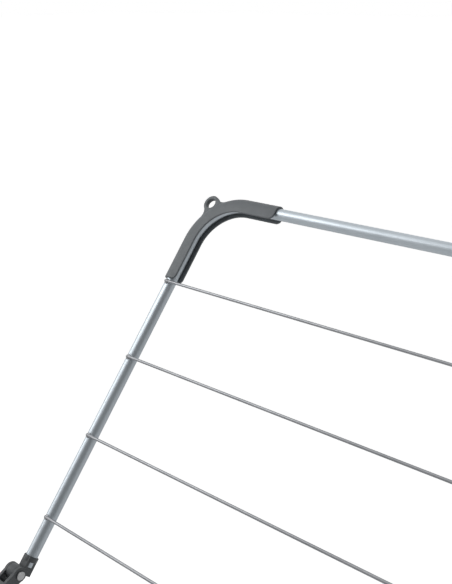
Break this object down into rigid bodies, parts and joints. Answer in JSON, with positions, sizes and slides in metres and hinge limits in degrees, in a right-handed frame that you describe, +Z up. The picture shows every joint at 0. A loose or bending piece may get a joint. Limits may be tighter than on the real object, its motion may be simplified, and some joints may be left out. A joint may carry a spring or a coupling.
{
  "type": "winged clothes airer",
  "caption": "Free-standing folding clothes airer: a wire rack on crossed tube legs, with a hinged wire wing at each end and a hanger eyelet at each wing corner.",
  "frame": {"origin": "on the floor under the middle of the rack", "axes": "+X along the airer from wing to wing, +Y along the drying wires, +Z up"},
  "size_m": [1.7514, 0.6106, 1.3091],
  "materials": {
    "frame_tube": "satin silver-grey coating",
    "leg_tube": "satin silver-grey coating",
    "drying_wire": "drawn, smooth",
    "clip_plastic": "fine-grained satin",
    "hinge_plastic": "fine-grained satin",
    "knob_plastic": "satin",
    "foot_rubber": "matte",
    "rivet_steel": "zinc plated"
  },
  "bodies": {
    "rack": {"bracket_pins": "rivet_steel", "hinge_fork_east_north": "hinge_plastic", "hinge_fork_east_south": "hinge_plastic", "hinge_fork_west_north": "hinge_plastic", "hinge_fork_west_south": "hinge_plastic", "leg_bracket_north": "hinge_plastic", "leg_bracket_south": "hinge_plastic", "rack_cross_tube_east": "frame_tube", "rack_cross_tube_west": "frame_tube", "rack_side_tube_north": "frame_tube", "rack_side_tube_south": "frame_tube", "rack_wire_1": "drying_wire", "rack_wire_2": "drying_wire", "rack_wire_3": "drying_wire", "rack_wire_4": "drying_wire", "rack_wire_5": "drying_wire", "rack_wire_6": "drying_wire", "rack_wire_7": "drying_wire", "rack_wire_8": "drying_wire", "wing_hinge_rivets_east": "rivet_steel", "wing_hinge_rivets_west": "rivet_steel"},
    "clamp_knob_north": {"clamp_knob_north": "knob_plastic"},
    "clamp_knob_south": {"clamp_knob_south": "knob_plastic"},
    "wing_east": {"corner_clip_east_north": "clip_plastic", "corner_clip_east_south": "clip_plastic", "hinge_eye_east_north": "hinge_plastic", "hinge_eye_east_south": "hinge_plastic", "wing_tube_east": "frame_tube", "wing_wire_east_1": "drying_wire", "wing_wire_east_2": "drying_wire", "wing_wire_east_3": "drying_wire", "wing_wire_east_4": "drying_wire"},
    "wing_west": {"corner_clip_west_north": "clip_plastic", "corner_clip_west_south": "clip_plastic", "hinge_eye_west_north": "hinge_plastic", "hinge_eye_west_south": "hinge_plastic", "wing_tube_west": "frame_tube", "wing_wire_west_1": "drying_wire", "wing_wire_west_2": "drying_wire", "wing_wire_west_3": "drying_wire", "wing_wire_west_4": "drying_wire"},
    "leg_outer": {"crossing_bushes": "hinge_plastic", "crossing_rivets": "rivet_steel", "foot_outer_north": "foot_rubber", "foot_outer_south": "foot_rubber", "leg_brace_outer": "leg_tube", "leg_frame_outer": "leg_tube", "leg_plugs_outer": "hinge_plastic"},
    "leg_inner": {"foot_inner_north": "foot_rubber", "foot_inner_south": "foot_rubber", "leg_brace_inner": "leg_tube", "leg_frame_inner": "leg_tube", "leg_plugs_inner": "hinge_plastic"},
    "sliders": {"slider_pins": "rivet_steel", "slider_shoe_north": "hinge_plastic", "slider_shoe_south": "hinge_plastic"}
  },
  "joints": [
    {"name": "wing_east_tilt", "type": "hinge", "parent": "rack", "child": "wing_east", "pos_m": [0.542, 0, 0.932], "axis": [0, -1, 0], "range_deg": [-50, 130]},
    {"name": "wing_west_tilt", "type": "hinge", "parent": "rack", "child": "wing_west", "pos_m": [-0.542, 0, 0.932], "axis": [0, 1, 0], "range_deg": [-50, 130]},
    {"name": "leg_fold", "type": "hinge", "parent": "rack", "child": "leg_outer", "pos_m": [-0.17896, 0, 0.9], "axis": [0, -1, 0], "range_deg": [0, 55]},
    {"name": "leg_crossing", "type": "hinge", "parent": "leg_outer", "child": "leg_inner", "pos_m": [0, 0, 0.64443], "axis": [0, -1, 0], "range_deg": [-110, 0]},
    {"name": "slider_pitch", "type": "hinge", "parent": "leg_inner", "child": "sliders", "pos_m": [0.17896, 0, 0.9], "axis": [0, -1, 0], "range_deg": [0, 55]},
    {"name": "clamp_knob_north_turn", "type": "hinge", "parent": "sliders", "child": "clamp_knob_north", "pos_m": [0.19096, 0.275, 0.887], "axis": [0, 0, 1], "range_deg": [0, 90]},
    {"name": "clamp_knob_south_turn", "type": "hinge", "parent": "sliders", "child": "clamp_knob_south", "pos_m": [0.19096, -0.275, 0.887], "axis": [0, 0, 1], "range_deg": [0, 90]}
  ],
  "couplings": [
    {"joint": "leg_crossing", "follows": "leg_fold", "ratio": -2},
    {"joint": "slider_pitch", "follows": "leg_fold", "ratio": 1}
  ]
}
